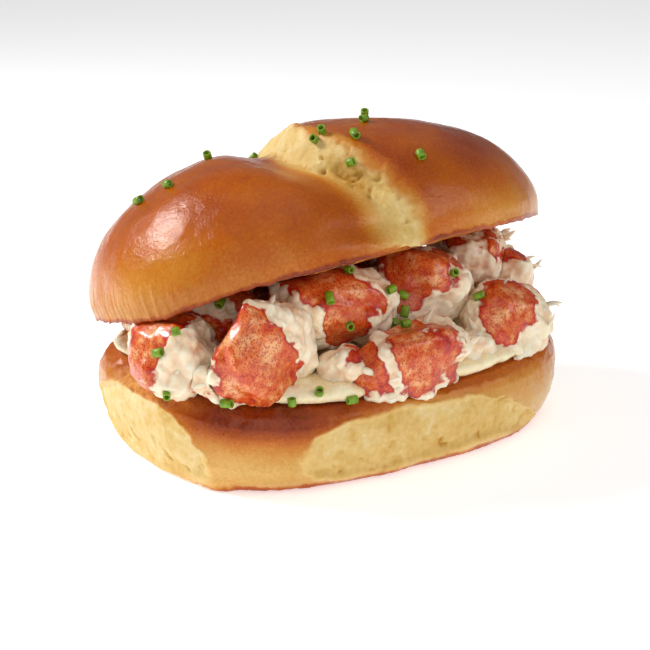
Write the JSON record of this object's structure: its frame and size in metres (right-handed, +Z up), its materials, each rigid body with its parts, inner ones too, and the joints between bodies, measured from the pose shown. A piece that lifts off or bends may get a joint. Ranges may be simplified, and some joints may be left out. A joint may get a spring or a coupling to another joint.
{
  "type": "lobster roll",
  "caption": "Split oval brioche roll, its lid scored and tilted open at the front over chunks of cooked lobster meat on a layer of pale cream dressing.",
  "frame": {"origin": "under the middle of the whole roll, on the surface it stands on", "axes": "+X along the roll, -Y to the open front, +Z up"},
  "size_m": [0.1328, 0.099, 0.0846],
  "materials": {
    "bun": "egg-washed brown crust, satin, with pale yellow torn crumb",
    "cream": "smooth, wet, slightly translucent dressing",
    "lobster": "moist cooked shellfish meat, mottled red skin and white flesh",
    "chive": "fresh cut chive rings"
  },
  "bodies": {
    "root": {"bun_base": "bun", "bun_lid": "bun", "cream": "cream", "lobster_claw_tip_left": "lobster", "lobster_claw_slab_front": "lobster", "lobster_tail_slab_front": "lobster", "lobster_claw_right": "lobster", "lobster_claw_middle": "lobster", "lobster_knuckle_left": "lobster", "lobster_knuckle_right": "lobster", "lobster_tail_back_right": "lobster", "lobster_flake_right_end": "lobster", "lobster_flake_front": "lobster", "lobster_flake_front_right": "lobster", "lobster_flake_front_left": "lobster", "lobster_piece_middle_left": "lobster", "lobster_piece_middle_right": "lobster", "lobster_piece_back_right": "lobster", "lobster_piece_back_left": "lobster", "lobster_piece_back": "lobster"}
  },
  "joints": []
}
